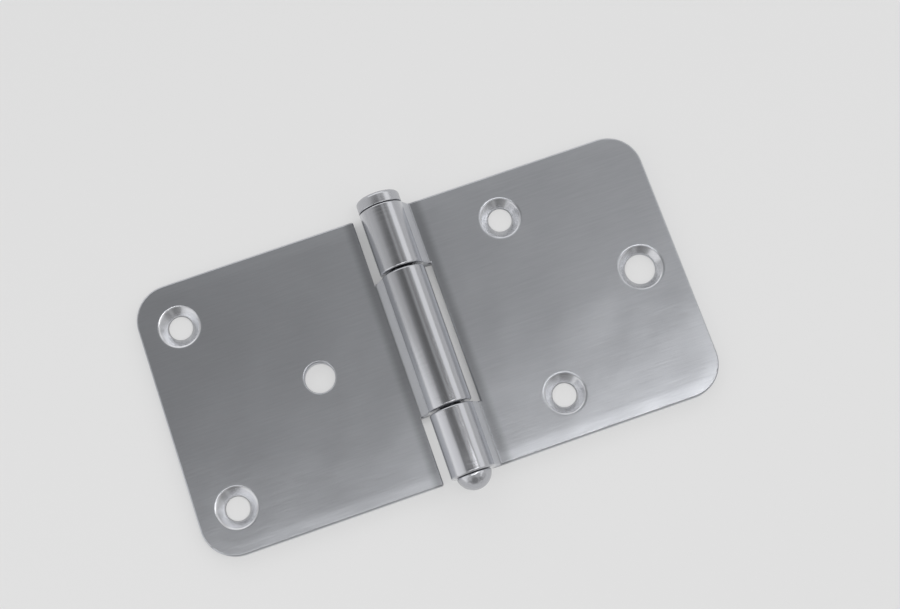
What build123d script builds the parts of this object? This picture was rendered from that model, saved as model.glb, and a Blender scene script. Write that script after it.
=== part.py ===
from build123d import *
from math import acos, cos, degrees, radians, sin
import os

# A flat hinge, lying open: two leaves of steel sheet joined by one headed pin.
# X runs across the leaves, Y along the pin and Z up, with the leaves' backs at Z = 0.
# Each leaf is cut flat, and its tabs are then bent up, rolled over the pin and on under it,
# so the barrel stands out on the front and is level with the back. All sizes are in millimetres.

# The leaves
sheet = 2.5
leaf_reach = 60.0            # from the pin's axis to a leaf's outer edge
leaf_height = 63.0           # along the pin
corner_radius = 8.0          # the two outer corners of each leaf
edge_break = 0.2             # what tumbling takes off each cut edge

# The knuckles
end_knuckle = 15.0           # length of each end knuckle along the pin
knuckle_gap = 0.5            # play between one knuckle and the next
neck_angle = 68.0            # how steeply a tab leaves its leaf
bend_radius = 0.4            # inside the crease at the foot of the neck
roll_end_gap = 0.25          # between a tab's free end and the back of its neck
notch_setback = 0.1          # from the start of the crease to the cut edge beside a tab

# The pin
pin_diameter = 5.0
pin_clearance = 0.05         # all round, in the rolled eye
head_clearance = 0.1         # between a head and the end knuckle under it
formed_head = 10.0           # the flat head that the pin is made with
formed_head_height = 2.8
formed_head_round = 0.9
peened_head = 7.8            # the round head that its other end is hammered into
peened_head_height = 3.5
peened_head_rim = 0.5        # straight rim under the dome

# The holes: a pair of screw holes and a single larger hole in each leaf
screw_hole = 5.4
screw_sink = 9.2             # mouth of the countersink
screw_margin = 10.2          # from a leaf's top and bottom edges to the pair
single_hole = 6.8
single_sink = 10.0
sink_angle = 90.0
outer_margin = 9.0           # from a leaf's outer edge to its outer column of holes
inner_column = 25.0          # from the pin's axis to a leaf's inner column of holes

# What follows from them
eye_radius = pin_diameter / 2 + pin_clearance
barrel_radius = eye_radius + sheet
axis_height = barrel_radius
neck = radians(neck_angle)
crease_start = (barrel_radius + bend_radius
                + cos(neck) * (axis_height - sheet - bend_radius)) / sin(neck)
inner_edge = crease_start + notch_setback
outer_column = leaf_reach - outer_margin
half_height = leaf_height / 2
half_middle = half_height - end_knuckle - knuckle_gap
middle_span = (-half_middle, half_middle)
end_spans = [(-half_height, end_knuckle - half_height), (half_height - end_knuckle, half_height)]


def tab_section():
    """The sheet from the leaf's inner edge up the neck, over the eye and under it to its free end."""
    wrap = 360 - degrees(acos((eye_radius - roll_end_gap) / barrel_radius))
    eye = (0, axis_height)
    foot = (-crease_start, sheet + bend_radius)
    with BuildLine() as outline:
        crease = CenterArc(foot, bend_radius, -90, neck_angle)
        over = CenterArc(eye, barrel_radius, 90 + neck_angle, -wrap)
        inside = CenterArc(eye, eye_radius, 90 + neck_angle - wrap, wrap)
        heel = CenterArc(foot, bend_radius + sheet, neck_angle - 90, -neck_angle)
        Line(crease @ 1, over @ 0)
        Line(over @ 1, inside @ 0)
        Line(inside @ 1, heel @ 0)
        Polyline(heel @ 1, (-inner_edge, 0), (-inner_edge, sheet), crease @ 0)
    return Plane.XZ * make_face(outline.line)


def tab(span):
    """One knuckle with its neck, from one place along the pin to another."""
    start, end = span
    return Pos(0, end, 0) * extrude(tab_section(), end - start)


def blank():
    """The flat part of a leaf, on the side of -X, with its outer corners rounded."""
    flat = Pos(-leaf_reach, -half_height, 0) * Box(
        leaf_reach - inner_edge, leaf_height, sheet, align=(Align.MIN, Align.MIN, Align.MIN))
    outer_corners = flat.edges().filter_by(Axis.Z).group_by(Axis.X)[0]
    return fillet(outer_corners, corner_radius)


def screw_hole_tool(column, row, diameter, sink):
    """What is drilled away for one hole: the bore, and the cone of its countersink if it has one."""
    tool = Pos(column, row, sheet / 2) * Cylinder(diameter / 2, 2 * sheet)
    if sink:
        depth = (sink - diameter) / 2 / sin(radians(sink_angle / 2)) * cos(radians(sink_angle / 2))
        cone = Cone(diameter / 2, sink / 2, depth, align=(Align.CENTER, Align.CENTER, Align.MAX))
        tool += Pos(column, row, sheet) * cone
    return tool


def cut_edges(body):
    """The edges along a leaf's cut sides, front and back, but not those that go through the sheet."""
    sides = body.faces().filter_by(Axis.X) + body.faces().filter_by(Axis.Y)
    through = sheet + 0.001
    return ShapeList({edge for edge in sides.edges() if edge.length > through})


def leaf(spans, pair_column, single_column, sink):
    """A leaf on the side of -X: the flat, its tabs and its three holes."""
    body = blank()
    for span in spans:
        body += tab(span)
    body = chamfer(cut_edges(body), edge_break)
    pair_row = half_height - screw_margin
    for row in (-pair_row, pair_row):
        body -= screw_hole_tool(-pair_column, row, screw_hole, screw_sink)
    return body - screw_hole_tool(-single_column, 0, single_hole, sink)


def hinge_pin():
    """The pin, turned about its own axis: shank, flat formed head at +Y, round peened head at -Y."""
    shank = pin_diameter / 2
    flat_rim = formed_head / 2
    round_rim = peened_head / 2
    seat = half_height + head_clearance
    top = seat + formed_head_height
    tip = seat + peened_head_height
    dome_rise = peened_head_height - peened_head_rim
    dome = (round_rim**2 + dome_rise**2) / (2 * dome_rise)
    with BuildLine() as outline:
        edge = CenterArc((flat_rim - formed_head_round, top - formed_head_round), formed_head_round, 90, -90)
        crown = CenterArc((0, dome - tip), dome, -90, degrees(acos((dome - dome_rise) / dome)))
        Polyline(edge @ 1, (flat_rim, seat), (shank, seat), (shank, -seat), (round_rim, -seat), crown @ 1)
        Polyline(crown @ 0, (0, top), edge @ 0)
    return Pos(0, 0, axis_height) * revolve(make_face(outline.line), Axis.Y)


nodes = {
    "leaf_middle_knuckle": leaf([middle_span], outer_column, inner_column, None),
    "leaf_end_knuckles": mirror(leaf(end_spans, inner_column, outer_column, single_sink), Plane.YZ),
    "hinge_pin": hinge_pin(),
}

os.makedirs("parts", exist_ok=True)
for name, solid in nodes.items():
    export_step(solid, f"parts/{name}.step")
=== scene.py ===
import bmesh
import bpy
from math import acos, cos, pi, radians, sin
from mathutils import Matrix, Vector


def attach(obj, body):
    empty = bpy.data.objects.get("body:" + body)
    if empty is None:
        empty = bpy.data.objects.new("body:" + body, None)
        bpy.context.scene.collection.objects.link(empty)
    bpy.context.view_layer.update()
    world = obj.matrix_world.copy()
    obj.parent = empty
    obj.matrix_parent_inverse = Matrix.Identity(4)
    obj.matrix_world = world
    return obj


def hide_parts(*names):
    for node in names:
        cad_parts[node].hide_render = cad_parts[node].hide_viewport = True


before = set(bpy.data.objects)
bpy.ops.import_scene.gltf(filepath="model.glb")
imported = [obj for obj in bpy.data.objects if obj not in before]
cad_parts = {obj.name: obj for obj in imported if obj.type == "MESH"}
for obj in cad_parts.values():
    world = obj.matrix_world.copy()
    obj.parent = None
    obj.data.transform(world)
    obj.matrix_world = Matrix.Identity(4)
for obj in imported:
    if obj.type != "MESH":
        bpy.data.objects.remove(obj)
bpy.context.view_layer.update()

# The two leaves of a flat hinge, each blanked with its tabs and screw holes from 2.5 mm sheet of
# stainless steel. The tabs are bent up, rolled over the pin and on under it, and the finished
# leaves are tumbled with fine stone, which leaves a soft satin and takes the bite off every edge.
mm = 0.001
sheet = 2.5
leaf_reach = 60.0
leaf_height = 63.0
corner_radius = 8.0
tumbled_round = 0.42
end_knuckle = 15.0
knuckle_gap = 0.5
neck = radians(68)
bend_radius = 0.4
roll_end_gap = 0.25
notch_setback = 0.1
eye_radius = 2.55
barrel_radius = eye_radius + sheet
axis_height = barrel_radius
crease_start = (barrel_radius + bend_radius
                + cos(neck) * (axis_height - sheet - bend_radius)) / sin(neck)
inner_edge = crease_start + notch_setback
half_height = leaf_height / 2
screw_hole, screw_sink = 5.4, 9.2
single_hole, single_sink = 6.8, 10.0
screw_margin = 10.2
screw_row = half_height - screw_margin
outer_margin = 9.0
outer_column = leaf_reach - outer_margin
inner_column = 25.0
hole_patch = 6.2             # half the side of the square of sheet that each hole is punched in
hole_sides = 64
bend_steps, roll_steps = 10, 120


def cut_along(bm, faces, point, normal):
    """Cuts these faces with a plane and keeps both sides."""
    edges = {edge for face in faces for edge in face.edges}
    verts = {vert for face in faces for vert in face.verts}
    bmesh.ops.bisect_plane(bm, geom=[*faces, *edges, *verts], dist=1e-5,
                           plane_co=point, plane_no=normal)


def flat_outline(bm):
    """The flat of a leaf as one face, on the side of -X, with its outer corners rounded."""
    bmesh.ops.create_grid(bm, x_segments=1, y_segments=1, size=0.5)
    bmesh.ops.scale(bm, vec=(leaf_reach - inner_edge, leaf_height, 1), verts=bm.verts)
    bmesh.ops.translate(bm, vec=(-(leaf_reach + inner_edge) / 2, 0, 0), verts=bm.verts)
    corners = [vert for vert in bm.verts if vert.co.x < -leaf_reach + 1]
    bmesh.ops.bevel(bm, geom=corners, offset=corner_radius, segments=20, profile=0.5,
                    affect="VERTICES", material=-1)


def punch(bm, column, row, diameter):
    """Opens a round hole in the square patch of sheet that was cut out round its centre."""
    centre = Vector((-column, row, 0))
    patch = min(bm.faces, key=lambda face: (face.calc_center_median() - centre).length)
    bmesh.ops.subdivide_edges(bm, edges=patch.edges[:], cuts=hole_sides // 4 - 1)
    patch = min(bm.faces, key=lambda face: (face.calc_center_median() - centre).length)
    border = patch.edges[:]
    bmesh.ops.delete(bm, geom=[patch], context="FACES_ONLY")
    place = Matrix.Translation(centre) @ Matrix.Rotation(radians(45), 4, "Z")
    rim = bmesh.ops.create_circle(bm, segments=hole_sides, radius=diameter / 2, matrix=place)
    rim_edges = {edge for vert in rim["verts"] for edge in vert.link_edges}
    bmesh.ops.bridge_loops(bm, edges=[*border, *rim_edges])


def countersink(bm, column, row, diameter, sink):
    """Opens the front of a hole into a 90 degree cone."""
    centre = Vector((-column, row, 0))
    wall = [face for face in bm.faces
            if (face.calc_center_median().xy - centre.xy).length < diameter / 2 + 0.01]
    cut_along(bm, wall, (0, 0, sheet - (sink - diameter) / 2), (0, 0, 1))
    mouth = [vert for vert in bm.verts if vert.co.z > sheet - 0.01
             and (vert.co.xy - centre.xy).length < diameter / 2 + 0.01]
    bmesh.ops.scale(bm, vec=(sink / diameter, sink / diameter, 1), verts=mouth,
                    space=Matrix.Translation(-centre))
    for face in {face for vert in mouth for face in vert.link_faces}:
        if face.calc_center_median().z < sheet - 0.01:
            face.material_index = 1


def pull(bm, face, step):
    """Draws one face out in a straight line and gives the face at its new end."""
    drawn = bmesh.ops.extrude_face_region(bm, geom=[face])["geom"]
    bmesh.ops.delete(bm, geom=[face], context="FACES_ONLY")
    bmesh.ops.translate(bm, vec=step,
                        verts=[part for part in drawn if isinstance(part, bmesh.types.BMVert)])
    return next(part for part in drawn if isinstance(part, bmesh.types.BMFace))


def turn(bm, face, centre, angle, steps):
    """Bends one face on round a line along the pin and gives the face at its new end."""
    bent = bmesh.ops.spin(bm, geom=[face], cent=centre, axis=(0, 1, 0), angle=angle, steps=steps)
    if face.is_valid:
        bmesh.ops.delete(bm, geom=[face], context="FACES_ONLY")
    return next(part for part in bent["geom_last"] if isinstance(part, bmesh.types.BMFace))


def roll_tab(bm, span):
    """Bends a tab up from the leaf's inner edge and rolls it over the pin and on under it."""
    root = Vector((-inner_edge, sum(span) / 2, sheet / 2))
    end = min(bm.faces, key=lambda face: (face.calc_center_median() - root).length)
    end = pull(bm, end, (notch_setback, 0, 0))
    foot = Vector((-crease_start, 0, sheet + bend_radius))
    end = turn(bm, end, foot, -neck, bend_steps)
    rise = Vector((sin(neck), 0, -cos(neck)))
    straight = Vector((0, 0, axis_height)) - barrel_radius * rise - (foot + bend_radius * rise)
    end = pull(bm, end, straight)
    wrap = radians(360) - acos((eye_radius - roll_end_gap) / barrel_radius)
    turn(bm, end, (0, 0, axis_height), wrap, roll_steps)


def tumbled(bm, name, radius):
    """Makes the object, with each outer edge over 35 degrees rounded as the tumbling stones leave it."""
    bmesh.ops.recalc_face_normals(bm, faces=bm.faces)
    rounded = bm.edges.layers.float.new("bevel_weight_edge")
    for edge in bm.edges:
        edge[rounded] = 1 if edge.calc_face_angle_signed() > radians(35) else 0
    mesh = bpy.data.meshes.new(name)
    bm.to_mesh(mesh)
    bm.free()
    mesh.shade_smooth()
    piece = bpy.data.objects.new(name, mesh)
    bpy.context.scene.collection.objects.link(piece)
    rounding = piece.modifiers.new("tumbled edges", "BEVEL")
    rounding.width = radius * mm
    rounding.segments = 3
    rounding.limit_method = "WEIGHT"
    rounding.use_clamp_overlap = False
    rounding.harden_normals = True
    return piece


def rolled_leaf(name, side, spans, pair_column, single_column, sink):
    """A whole leaf as one mesh: side is -1 for the leaf on the left and 1 for the one on the right."""
    bm = bmesh.new()
    flat_outline(bm)
    for column in (pair_column, single_column):
        for offset in (-hole_patch, hole_patch):
            cut_along(bm, bm.faces[:], (offset - column, 0, 0), (1, 0, 0))
    for row in (-screw_row, 0, screw_row):
        for offset in (-hole_patch, hole_patch):
            hole_strips = [face for face in bm.faces
                           if face.calc_center_median().x < hole_patch - inner_column]
            cut_along(bm, hole_strips, (0, row + offset, 0), (0, 1, 0))
    for row in (-screw_row, screw_row):
        punch(bm, pair_column, row, screw_hole)
    punch(bm, single_column, 0, single_hole)
    for line in {y for span in spans for y in span if abs(y) < half_height}:
        tab_strip = [face for face in bm.faces
                     if face.calc_center_median().x > hole_patch - inner_column]
        cut_along(bm, tab_strip, (0, line, 0), (0, 1, 0))
    front = bmesh.ops.extrude_face_region(bm, geom=bm.faces[:], use_keep_orig=True)["geom"]
    bmesh.ops.translate(bm, vec=(0, 0, sheet),
                        verts=[part for part in front if isinstance(part, bmesh.types.BMVert)])
    for row in (-screw_row, screw_row):
        countersink(bm, pair_column, row, screw_hole, screw_sink)
    if sink:
        countersink(bm, single_column, 0, single_hole, sink)
    for span in spans:
        roll_tab(bm, span)
    bmesh.ops.scale(bm, vec=(-side * mm, mm, mm), verts=bm.verts)
    return tumbled(bm, name, tumbled_round)


def linear(hex_colour):
    """A written sRGB colour as the linear values that a shader takes."""
    shares = [int(hex_colour[i:i + 2], 16) / 255 for i in (1, 3, 5)]
    return [s / 12.92 if s <= 0.04045 else ((s + 0.055) / 1.055) ** 2.4 for s in shares] + [1]


def add_node(tree, kind, inputs=None, **settings):
    """Adds one node. Its inputs, by name or number, are given values or the sockets that feed them."""
    node = tree.nodes.new(kind)
    for name, value in settings.items():
        setattr(node, name, value)
    for socket, value in (inputs or {}).items():
        if isinstance(value, bpy.types.NodeSocket):
            tree.links.new(value, node.inputs[socket])
        else:
            node.inputs[socket].default_value = value
    return node


# Stainless sheet, cold rolled and tumbled: a grey satin in soft patches, slightly wavy, with a grain
# across the hinge and round the knuckles, drawn 0.4 mm apart, coarser than it is. The rolling tool
# burnishes the knuckles and the necks stay matt. The flats next to the barrel get a painted shade.
satin_steel = bpy.data.materials.new("tumbled_stainless_sheet")
satin_steel.use_nodes = True
tree = satin_steel.node_tree
surface = tree.nodes["Principled BSDF"]
surface.inputs["Metallic"].default_value = 1
patch_width, wave_width = 16.7, 22.2
grain_length, grain_width = 7.14, 0.435
place = add_node(tree, "ShaderNodeTexCoord").outputs["Object"]
clouds = add_node(tree, "ShaderNodeTexNoise", {"Vector": place, "Scale": 1 / (patch_width * mm),
                                               "Detail": 3, "Roughness": 0.5})
grain_scale = (1 / (grain_length * mm), 1 / (grain_width * mm), 1 / (grain_length * mm))
grain_place = add_node(tree, "ShaderNodeMapping", {"Vector": place, "Scale": grain_scale})
grain = add_node(tree, "ShaderNodeTexNoise", {"Vector": grain_place.outputs[0], "Scale": 1, "Detail": 3,
                                              "Roughness": 0.6})
mixed = add_node(tree, "ShaderNodeMix", {
    "Factor": 0.5, 2: clouds.outputs["Fac"], 3: grain.outputs["Fac"]})
tone = add_node(tree, "ShaderNodeMix", {"Factor": mixed.outputs[0], 6: linear("#C8CACE"),
                                        7: linear("#A3A5AA")}, data_type="RGBA")
apart = add_node(tree, "ShaderNodeSeparateXYZ", {"Vector": place})
from_pin = add_node(tree, "ShaderNodeMath", {0: apart.outputs["X"]}, operation="ABSOLUTE")
# Painted shade of the barrel on the flats: from 9.8 mm off the pin in to 7.6 mm, up to half way to
# #6C6D70.
barrel_shade_falloff = add_node(tree, "ShaderNodeMapRange", {
    "Value": from_pin.outputs[0], "From Min": 7.6 * mm, "From Max": 9.8 * mm, "To Min": 0.5, "To Max": 0},
    interpolation_type="SMOOTHSTEP")
# Raised are the knuckles, which lie round the pin's axis, and the necks, which stand up from the flat.
above_flat = add_node(tree, "ShaderNodeMapRange", {
    "Value": apart.outputs["Z"], "From Min": (sheet + 0.02) * mm, "From Max": (sheet + 0.45) * mm})
off_axis = add_node(tree, "ShaderNodeVectorMath", {
    0: place, 1: (1, 0, 1), 2: (0, 0, -axis_height * mm)}, operation="MULTIPLY_ADD")
from_axis = add_node(tree, "ShaderNodeVectorMath", {0: off_axis.outputs[0]}, operation="LENGTH")
on_barrel = add_node(tree, "ShaderNodeMapRange", {
    "Value": from_axis.outputs["Value"], "From Min": (barrel_radius + 0.2) * mm,
    "From Max": (barrel_radius + 0.05) * mm})
raised = add_node(tree, "ShaderNodeMath", {
    0: above_flat.outputs[0], 1: on_barrel.outputs[0]}, operation="MAXIMUM")
low = add_node(tree, "ShaderNodeMath", {0: 1, 1: raised.outputs[0]}, operation="SUBTRACT")
painted_shade_mask = add_node(tree, "ShaderNodeMath", {
    0: barrel_shade_falloff.outputs[0], 1: low.outputs[0]}, operation="MULTIPLY")
# The flats' tone with the painted shade beside the barrel mixed in.
tone_with_painted_shade = add_node(tree, "ShaderNodeMix", {"Factor": painted_shade_mask.outputs[0], 6: tone.outputs[2],
                                          7: linear("#6C6D70")}, data_type="RGBA")
# The tops of the knuckles, from 6.8 mm up, are a little darker.
crown = add_node(tree, "ShaderNodeMapRange", {
    "Value": apart.outputs["Z"], "From Min": 6.8 * mm, "From Max": 8.4 * mm})
polish = add_node(tree, "ShaderNodeMix", {"Factor": crown.outputs[0], 6: linear("#DADBDE"),
                                          7: linear("#BEBFC3")}, data_type="RGBA")
burnished = add_node(tree, "ShaderNodeMix", {"Factor": raised.outputs[0], 6: tone_with_painted_shade.outputs[2],
                                             7: polish.outputs[2]}, data_type="RGBA")
tree.links.new(burnished.outputs[2], surface.inputs["Base Color"])
satin = add_node(tree, "ShaderNodeMapRange", {
    "Value": mixed.outputs[0], "From Min": 0.3, "From Max": 0.7, "To Min": 0.28, "To Max": 0.325})
rolled = add_node(tree, "ShaderNodeMapRange", {
    "Value": from_axis.outputs["Value"], "From Min": (barrel_radius + 0.01) * mm,
    "From Max": (barrel_radius + 0.05) * mm, "To Min": 0.2, "To Max": 0.7})
gloss = add_node(tree, "ShaderNodeMix", {
    "Factor": raised.outputs[0], 2: satin.outputs[0], 3: rolled.outputs[0]})
tree.links.new(gloss.outputs[0], surface.inputs["Roughness"])
relief = add_node(tree, "ShaderNodeBump", {"Height": grain.outputs["Fac"], "Strength": 0.5,
                                           "Distance": 0.025 * mm})
waves = add_node(tree, "ShaderNodeTexNoise", {"Vector": place, "Scale": 1 / (wave_width * mm),
                                              "Detail": 2, "Roughness": 0.4})
flatness = add_node(tree, "ShaderNodeBump", {"Height": waves.outputs["Fac"], "Normal": relief.outputs[0],
                                             "Strength": 1, "Distance": 0.35 * mm})
# The press tool draws the sheet down towards its cut edges, and the stones round it further.
sides = add_node(tree, "ShaderNodeVectorMath", {0: place}, operation="ABSOLUTE")
inset = ((leaf_reach - corner_radius) * mm, (half_height - corner_radius) * mm, 1)
past = add_node(tree, "ShaderNodeVectorMath", {0: sides.outputs[0], 1: inset}, operation="SUBTRACT")
outside = add_node(tree, "ShaderNodeVectorMath", {0: past.outputs[0], 1: (0, 0, 0)},
                   operation="MAXIMUM")
reach = add_node(tree, "ShaderNodeVectorMath", {0: outside.outputs[0]}, operation="LENGTH")
die_roll = add_node(tree, "ShaderNodeMapRange", {
    "Value": reach.outputs["Value"], "From Min": (corner_radius - 3.3) * mm,
    "From Max": (corner_radius + 0.5) * mm, "To Min": 1, "To Max": 0},
    interpolation_type="SMOOTHSTEP")
on_flat = add_node(tree, "ShaderNodeMath", {
    0: die_roll.outputs[0], 1: low.outputs[0]}, operation="MULTIPLY")
rolled_off = add_node(tree, "ShaderNodeBump", {
    "Height": on_flat.outputs[0], "Normal": flatness.outputs[0], "Strength": 1, "Distance": 0.055 * mm})
tree.links.new(rolled_off.outputs[0], surface.inputs["Normal"])

# The countersinks are cut after tumbling, so they are brighter and keep the drill's turning marks,
# fine rings that follow the depth of the cone. They are drawn 0.12 mm apart, coarser than they are.
turned_cone = bpy.data.materials.new("countersunk_stainless")
turned_cone.use_nodes = True
tree = turned_cone.node_tree
surface = tree.nodes["Principled BSDF"]
surface.inputs["Metallic"].default_value = 1
surface.inputs["Base Color"].default_value = linear("#C9CACD")
surface.inputs["Roughness"].default_value = 0.24
place = add_node(tree, "ShaderNodeTexCoord").outputs["Object"]
ring_length, ring_spacing = 25, 0.12
ring_scale = (1 / (ring_length * mm), 1 / (ring_length * mm), 1 / (ring_spacing * mm))
ring_place = add_node(tree, "ShaderNodeMapping", {"Vector": place, "Scale": ring_scale})
rings = add_node(tree, "ShaderNodeTexNoise", {"Vector": ring_place.outputs[0], "Scale": 1, "Detail": 1})
relief = add_node(tree, "ShaderNodeBump", {"Height": rings.outputs["Fac"], "Strength": 0.3,
                                           "Distance": 0.02 * mm})
tree.links.new(relief.outputs[0], surface.inputs["Normal"])

middle_span = (end_knuckle + knuckle_gap - half_height, half_height - end_knuckle - knuckle_gap)
end_spans = [(-half_height, end_knuckle - half_height), (half_height - end_knuckle, half_height)]
left_leaf = rolled_leaf("left_leaf_sheet", -1, [middle_span], outer_column, inner_column, None)
right_leaf = rolled_leaf("right_leaf_sheet", 1, end_spans, inner_column, outer_column, single_sink)
for leaf in (left_leaf, right_leaf):
    leaf.data.materials.append(satin_steel)
    leaf.data.materials.append(turned_cone)
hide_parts("leaf_middle_knuckle")
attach(left_leaf, "door_leaf")
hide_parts("leaf_end_knuckles")
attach(right_leaf, "frame_leaf")

# The pin, a turned stainless rivet pushed through the knuckles from the top. It has a flat formed
# head there, and at the bottom its end is hammered over into a round head, so it can't come out.
shank = 2.5
head_clearance = 0.1
head_seat = half_height + head_clearance
flat_head, flat_head_height = 5.0, 2.8
flat_end = head_seat + flat_head_height
formed_round = 0.9
round_head, round_head_height, round_head_rim = 3.9, 3.5, 0.5
round_end = head_seat + round_head_height
dome_start = head_seat + round_head_rim
dome_rise = round_end - dome_start
dome = (round_head**2 + dome_rise**2) / (2 * dome_rise)
dome_angle = acos((dome - dome_rise) / dome)
blows = 34
blow_depth = 0.025
blow_turn = radians(137.5)
dome_steps, pin_sides = 24, 128
pin_edge_round = 0.2


def hammer(bm):
    """Flattens small spots on the round head in a spiral from its middle. Some blows go deeper."""
    centre = Vector((0, dome - round_end, 0))
    domed = [vert for vert in bm.verts if vert.co.y < -dome_start - 0.05]
    for blow in range(blows):
        tilt = dome_angle * ((blow + 0.5) / blows) ** 0.5
        turned = blow_turn * blow
        out = Vector((sin(tilt) * cos(turned), -cos(tilt), sin(tilt) * sin(turned)))
        flat = centre.dot(out) + dome - blow_depth * (1 + blow * 7 % 5 / 4)
        for vert in domed:
            over = vert.co.dot(out) - flat
            if over > 0:
                vert.co -= over * out


def turned_pin(name):
    """The pin as one mesh, its profile spun about its own axis."""
    bm = bmesh.new()
    profile = [(0, flat_end), (flat_head, flat_end), (flat_head, head_seat), (shank, head_seat),
               (shank, -head_seat), (round_head, -head_seat), (round_head, -dome_start)]
    points = [bm.verts.new((radius, y, 0)) for radius, y in profile]
    for start, end in zip(points, points[1:]):
        bm.edges.new((start, end))
    bmesh.ops.spin(bm, geom=[points[-1]], cent=(0, dome - round_end, 0), axis=(0, 0, 1),
                   angle=-dome_angle, steps=dome_steps)
    bmesh.ops.spin(bm, geom=bm.verts[:] + bm.edges[:], cent=(0, 0, 0), axis=(0, 1, 0),
                   angle=radians(360), steps=pin_sides, use_merge=True)
    bmesh.ops.remove_doubles(bm, verts=bm.verts, dist=1e-4)
    outermost = [vert for vert in bm.verts
                 if vert.co.y > flat_end - 0.01 and vert.co.xz.length > flat_head - 0.01]
    rim = [edge for edge in bm.edges if all(vert in outermost for vert in edge.verts)]
    bmesh.ops.bevel(bm, geom=rim, offset=formed_round, segments=10, profile=0.5, affect="EDGES",
                    material=-1)
    hammer(bm)
    bmesh.ops.translate(bm, vec=(0, 0, axis_height), verts=bm.verts)
    bmesh.ops.scale(bm, vec=(mm, mm, mm), verts=bm.verts)
    return tumbled(bm, name, pin_edge_round)


# Stainless bar, turned bright. The tool leaves fine rings round the pin and across its ends, drawn
# 0.2 mm apart, coarser than they are, so that they show.
turned_bar = bpy.data.materials.new("turned_stainless_bar")
turned_bar.use_nodes = True
tree = turned_bar.node_tree
surface = tree.nodes["Principled BSDF"]
surface.inputs["Metallic"].default_value = 1
surface.inputs["Base Color"].default_value = linear("#BFC0C4")
surface.inputs["Roughness"].default_value = 0.24
place = add_node(tree, "ShaderNodeTexCoord").outputs["Object"]
on_axis = add_node(tree, "ShaderNodeMapping", {"Vector": place, "Location": (0, 0, -axis_height * mm)})
parts = add_node(tree, "ShaderNodeSeparateXYZ", {"Vector": on_axis.outputs[0]})
across_axis = add_node(tree, "ShaderNodeCombineXYZ", {"X": parts.outputs["X"], "Y": parts.outputs["Z"]})
radius = add_node(tree, "ShaderNodeVectorMath", {0: across_axis.outputs[0]}, operation="LENGTH")
tool_path = add_node(tree, "ShaderNodeCombineXYZ", {
    "X": radius.outputs["Value"], "Y": parts.outputs["Y"]})
ring_spacing = 0.2
rings = add_node(tree, "ShaderNodeTexNoise", {
    "Vector": tool_path.outputs[0], "Scale": 1 / (ring_spacing * mm), "Detail": 1})
turning = add_node(tree, "ShaderNodeBump", {"Height": rings.outputs["Fac"], "Strength": 0.5,
                                            "Distance": 0.01 * mm})
tree.links.new(turning.outputs[0], surface.inputs["Normal"])

pin = turned_pin("turned_pin")
pin.data.materials.append(turned_bar)
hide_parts("hinge_pin")
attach(pin, "frame_leaf")

# The plain pale floor that the hinge lies on, of paper. The camera and the steel see it partly at its
# own colour, so the shadow is soft, and it is deeper in the slits beside the upper two knuckles.
floor_bm = bmesh.new()
bmesh.ops.create_grid(floor_bm, x_segments=1, y_segments=1, size=12)
floor_mesh = bpy.data.meshes.new("floor")
floor_bm.to_mesh(floor_mesh)
floor_bm.free()
floor = bpy.data.objects.new("floor", floor_mesh)
bpy.context.scene.collection.objects.link(floor)
paper = bpy.data.materials.new("pale_paper")
paper.use_nodes = True
tree = paper.node_tree
matt = tree.nodes["Principled BSDF"]
matt.inputs["Base Color"].default_value = linear("#E8E8E8")
matt.inputs["Roughness"].default_value = 0.9
rays = add_node(tree, "ShaderNodeLightPath")
seen = add_node(tree, "ShaderNodeMath", {
    0: rays.outputs["Is Camera Ray"], 1: rays.outputs["Is Glossy Ray"]}, operation="MAXIMUM")
slits_middle = (0, 7.5 * mm, 0)
place = add_node(tree, "ShaderNodeTexCoord").outputs["Object"]
from_slits = add_node(tree, "ShaderNodeVectorMath", {0: place, 1: slits_middle}, operation="SUBTRACT")
around_slits = add_node(tree, "ShaderNodeVectorMath", {0: from_slits.outputs[0]}, operation="ABSOLUTE")
out_of_slits = add_node(tree, "ShaderNodeSeparateXYZ", {"Vector": around_slits.outputs[0]})
aside = add_node(tree, "ShaderNodeMapRange", {
    "Value": out_of_slits.outputs["X"], "From Min": 7.2 * mm, "From Max": 9 * mm})
beyond = add_node(tree, "ShaderNodeMapRange", {
    "Value": out_of_slits.outputs["Y"], "From Min": 23 * mm, "From Max": 25 * mm})
open_floor = add_node(tree, "ShaderNodeMath", {
    0: aside.outputs[0], 1: beyond.outputs[0]}, operation="MAXIMUM")
own_share = add_node(tree, "ShaderNodeMapRange", {
    "Value": open_floor.outputs[0], "To Min": 0.27, "To Max": 0.62})
share = add_node(tree, "ShaderNodeMath", {
    0: seen.outputs[0], 1: own_share.outputs[0]}, operation="MULTIPLY")
own_colour = add_node(tree, "ShaderNodeEmission", {"Color": linear("#E4E4E4"), "Strength": 1})
both = add_node(tree, "ShaderNodeMixShader", {
    0: share.outputs[0], 1: matt.outputs[0], 2: own_colour.outputs[0]})
tree.links.new(both.outputs[0], tree.nodes["Material Output"].inputs["Surface"])
floor_mesh.materials.append(paper)

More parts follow.
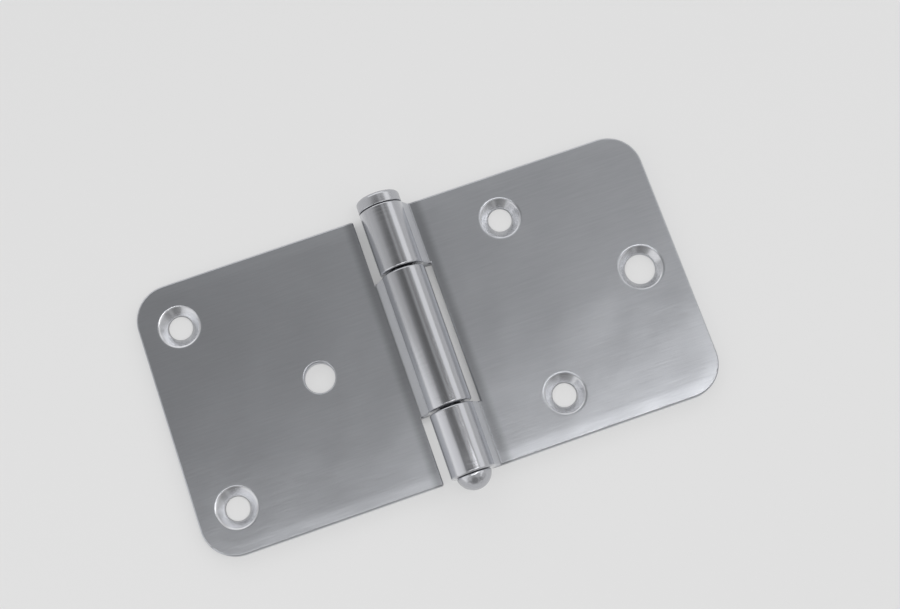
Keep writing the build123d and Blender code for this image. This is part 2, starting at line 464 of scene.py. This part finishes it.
# Soft studio light. The ceiling is dim in its middle, so that the flats look grey and the barrel has
# its dark stripe, and paler to the right, at the back and low down. Three soft boxes stand round the
# hinge, and two hang overhead, past its bottom edge, and brighten that edge and the right corner.
world = bpy.data.worlds.new("studio")
bpy.context.scene.world = world
world.use_nodes = True
tree = world.node_tree
sky = add_node(tree, "ShaderNodeTexCoord").outputs["Generated"]
dark_middle = Vector((-0.05, 0.18, 0.98)).normalized()
nearness = add_node(tree, "ShaderNodeVectorMath", {0: sky, 1: dark_middle}, operation="DOT_PRODUCT")
around = add_node(tree, "ShaderNodeMapRange", {
    "Value": nearness.outputs["Value"], "From Min": 0.996, "From Max": 0.70,
    "To Min": 0.1, "To Max": 0.52})
way = add_node(tree, "ShaderNodeSeparateXYZ", {"Vector": sky})
stripe_middle = 0.165
off_right = add_node(tree, "ShaderNodeMath", {
    0: way.outputs["X"], 1: stripe_middle}, operation="SUBTRACT")
from_right = add_node(tree, "ShaderNodeMath", {0: off_right.outputs[0]}, operation="ABSOLUTE")
right_glow = add_node(tree, "ShaderNodeMapRange", {
    "Value": from_right.outputs[0], "From Min": 0.08, "From Max": 0.13, "To Min": 0.27, "To Max": 0})
horizon = add_node(tree, "ShaderNodeMapRange", {
    "Value": way.outputs["Z"], "From Min": 0.55, "From Max": 0.05, "To Min": 0, "To Max": 0.24})
back_glow = add_node(tree, "ShaderNodeMapRange", {
    "Value": way.outputs["Y"], "From Min": 0.24, "From Max": 0.40, "To Min": 0, "To Max": 0.34})
front_dim = add_node(tree, "ShaderNodeMapRange", {
    "Value": way.outputs["Y"], "From Min": -0.5, "From Max": -0.95, "To Min": 0, "To Max": -0.38})
ceiling = around
for light in (right_glow, horizon, back_glow, front_dim):
    ceiling = add_node(tree, "ShaderNodeMath", {0: ceiling.outputs[0], 1: light.outputs[0]})
brightest = 0.72
ceiling = add_node(tree, "ShaderNodeMath", {0: ceiling.outputs[0], 1: brightest}, operation="MINIMUM")
backdrop = tree.nodes["Background"]
backdrop.inputs["Color"].default_value = linear("#FFFFFF")
tree.links.new(ceiling.outputs[0], backdrop.inputs["Strength"])


def soft_box(name, place, aim, width, height, brightness, turned=0):
    """A flat lamp at one place, facing another, in metres. A brightness of 1 reflects as white."""
    data = bpy.data.lights.new(name, "AREA")
    data.shape = "RECTANGLE"
    data.size = width
    data.size_y = height
    data.energy = brightness * width * height * pi
    box = bpy.data.objects.new(name, data)
    box.location = place
    box.rotation_euler = (Vector(aim) - Vector(place)).to_track_quat("-Z", "Y").to_euler()
    box.rotation_euler.rotate_axis("Z", radians(turned))
    box.visible_camera = False
    bpy.context.scene.collection.objects.link(box)


soft_box("right_box", (0.93, -0.10, 0.78), (0, 0, 0), 2.0, 0.60, 0.58)
soft_box("left_box", (-0.24, -0.11, 0.17), (0, -0.11, 0.17), 0.30, 0.34, 0.50)
soft_box("back_box", (0, 1.1, 0.6), (0, 0, 0), 1.6, 0.6, 0.7)
soft_box("overhead_box_left", (-0.127, -0.12, 0.6), (-0.127, -0.12, 0), 0.27, 0.16, 2.4)
soft_box("overhead_box_right", (0.195, -0.081, 0.6), (0.195, -0.081, 0), 0.32, 0.12, 4.5, turned=18)

# The camera stands over the hinge, a little below its middle, and is turned so that the hinge lies
# askew in the picture. Its place comes from the corners and the holes in the photograph.
view = bpy.data.cameras.new("camera")
view.lens = 60
view.sensor_width = 36
camera = bpy.data.objects.new("camera", view)
camera.location = (-0.0143, -0.0623, 0.3302)
camera.rotation_euler = (radians(12.36), radians(0.32), radians(-19.26))
view.clip_start = 0.01
bpy.context.scene.collection.objects.link(camera)
bpy.context.scene.camera = camera

bpy.context.scene.view_settings.view_transform = "Standard"
